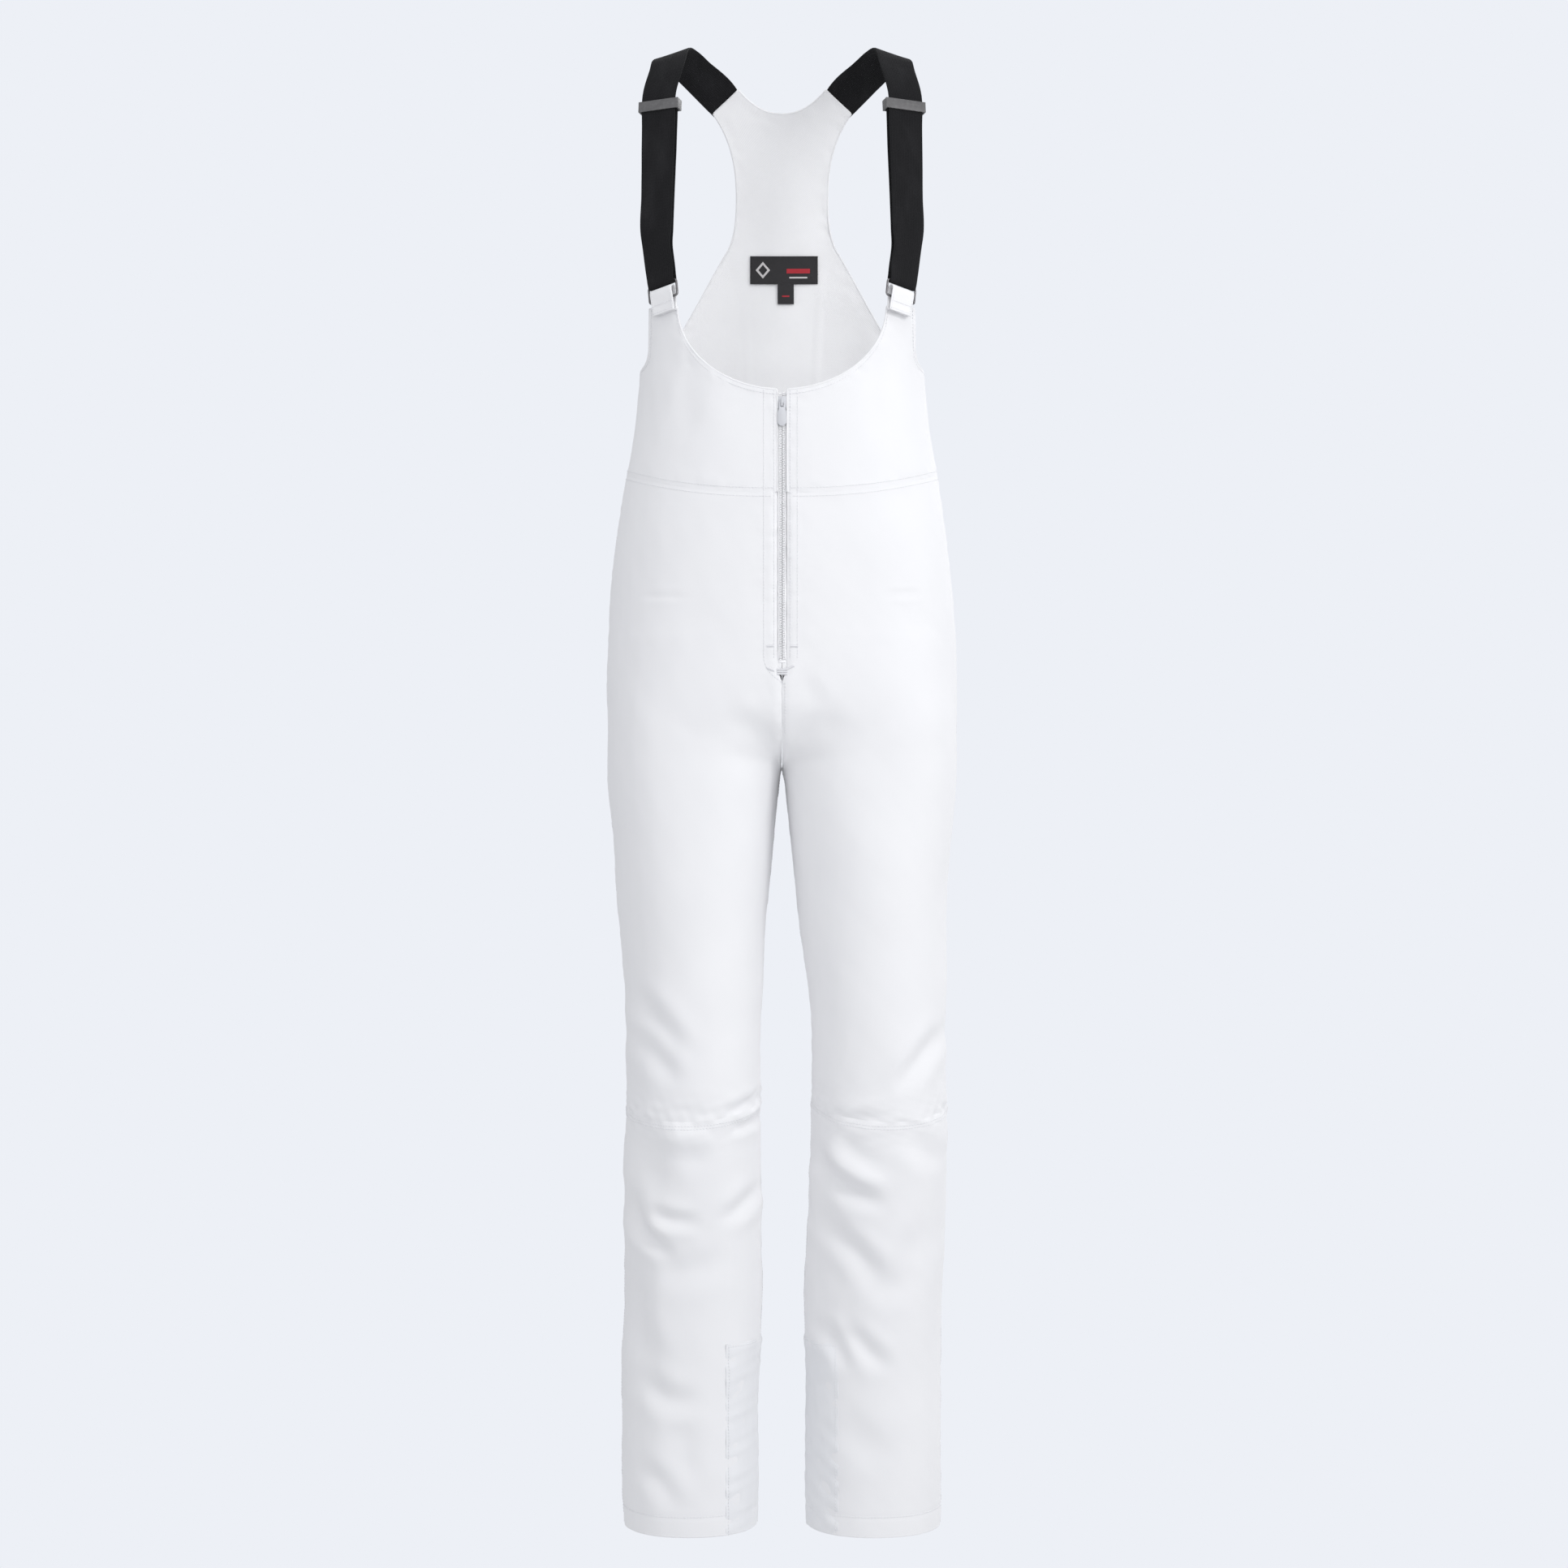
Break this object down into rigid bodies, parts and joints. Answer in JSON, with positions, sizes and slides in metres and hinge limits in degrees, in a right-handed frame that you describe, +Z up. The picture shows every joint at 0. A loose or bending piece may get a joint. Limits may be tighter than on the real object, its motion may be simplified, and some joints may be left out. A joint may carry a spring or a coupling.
{
  "type": "ski pants",
  "caption": "High-bib softshell ski pants with racer back, elastic shoulder straps on metal slides and rings, front zip, shaped knees and boot gaiters.",
  "frame": {"origin": "the shoulder line, midway between the crests of the two straps, at the height of the straps' highest point", "axes": "+Z up the hanging garment, -Y the wearer's front, +X the wearer's left"},
  "size_m": [0.368, 0.2327, 1.5443],
  "materials": {
    "softshell": "matt white softshell, faint twill",
    "reinforcement": "matt white, denser weave",
    "lining": "soft brushed off-white",
    "gaiter_cloth": "thin plain weave, off-white",
    "elastic": "black woven elastic",
    "dark_metal": "dark nickel wire",
    "grey_metal": "grey coated metal",
    "zip_tape": "white woven tape",
    "zip_plastic": "white nylon coil",
    "zip_slider": "white enamelled metal",
    "label": "black woven satin label"
  },
  "bodies": {
    "root": {"bib_back": "softshell", "bib_front_right": "softshell", "waist_front_right": "softshell", "waist_back_right": "softshell", "hip_front_right": "softshell", "hip_back_right": "softshell", "shoulder_strap_right": "elastic", "strap_return_right": "elastic", "strap_tab_right": "softshell", "zip_tape_right": "zip_tape", "zip_coil_right": "zip_plastic", "bib_front_left": "softshell", "waist_front_left": "softshell", "waist_back_left": "softshell", "hip_front_left": "softshell", "hip_back_left": "softshell", "shoulder_strap_left": "elastic", "strap_return_left": "elastic", "strap_tab_left": "softshell", "zip_tape_left": "zip_tape", "zip_coil_left": "zip_plastic", "zip_stop": "zip_plastic", "zip_guard": "lining", "neck_label": "label", "size_label": "label"},
    "thigh_right": {"thigh_front_right": "softshell", "thigh_back_right": "softshell", "knee_front_right": "softshell", "knee_back_right": "softshell"},
    "shin_right": {"shin_front_right": "softshell", "shin_back_right": "softshell", "scuff_guard_right": "reinforcement", "hem_facing_right": "lining", "boot_gaiter_right": "gaiter_cloth", "gaiter_elastic_right": "elastic"},
    "ring_right": {"strap_ring_right": "dark_metal"},
    "adjuster_right": {"strap_adjuster_right": "grey_metal"},
    "thigh_left": {"thigh_front_left": "softshell", "thigh_back_left": "softshell", "knee_front_left": "softshell", "knee_back_left": "softshell"},
    "shin_left": {"shin_front_left": "softshell", "shin_back_left": "softshell", "scuff_guard_left": "reinforcement", "hem_facing_left": "lining", "boot_gaiter_left": "gaiter_cloth", "gaiter_elastic_left": "elastic"},
    "ring_left": {"strap_ring_left": "dark_metal"},
    "adjuster_left": {"strap_adjuster_left": "grey_metal"},
    "slider": {"zip_slider": "zip_slider"},
    "puller": {"zip_puller": "zip_slider"}
  },
  "joints": [
    {"name": "zip_slide", "type": "slide", "parent": "root", "child": "slider", "axis": [0, 0.033, -0.9995], "range_m": [0, 0.253]},
    {"name": "puller_swing", "type": "hinge", "parent": "slider", "child": "puller", "pos_m": [0, -0.11145, -0.38403], "axis": [-1, 0, 0], "range_deg": [0, 150]},
    {"name": "adjuster_slide_right", "type": "slide", "parent": "root", "child": "adjuster_right", "axis": [-0.03, -0.2031, -0.9787], "range_m": [0, 0.125], "deforming": ["strap_return_right"]},
    {"name": "ring_rock_right", "type": "hinge", "parent": "root", "child": "ring_right", "pos_m": [-0.122, -0.087, -0.2605], "axis": [0.7949, -0.5748, 0.1944], "range_deg": [-4, 4]},
    {"name": "adjuster_slide_left", "type": "slide", "parent": "root", "child": "adjuster_left", "axis": [0.03, -0.2031, -0.9787], "range_m": [0, 0.125], "deforming": ["strap_return_left"]},
    {"name": "ring_rock_left", "type": "hinge", "parent": "root", "child": "ring_left", "pos_m": [0.122, -0.087, -0.2605], "axis": [0.7949, 0.5748, -0.1944], "range_deg": [-4, 4]},
    {"name": "hip_flex_right", "type": "hinge", "parent": "root", "child": "thigh_right", "pos_m": [-0.093, 0, -0.7], "axis": [-1, 0, 0], "range_deg": [-15, 75], "deforming": ["hip_front_right", "hip_back_right"]},
    {"name": "knee_bend_right", "type": "hinge", "parent": "thigh_right", "child": "shin_right", "pos_m": [-0.095, 0.006, -1.193], "axis": [1, 0, 0], "range_deg": [0, 90], "deforming": ["knee_front_right", "knee_back_right"]},
    {"name": "hip_flex_left", "type": "hinge", "parent": "root", "child": "thigh_left", "pos_m": [0.093, 0, -0.7], "axis": [-1, 0, 0], "range_deg": [-15, 75], "deforming": ["hip_front_left", "hip_back_left"]},
    {"name": "knee_bend_left", "type": "hinge", "parent": "thigh_left", "child": "shin_left", "pos_m": [0.095, 0.006, -1.193], "axis": [1, 0, 0], "range_deg": [0, 90], "deforming": ["knee_front_left", "knee_back_left"]}
  ]
}
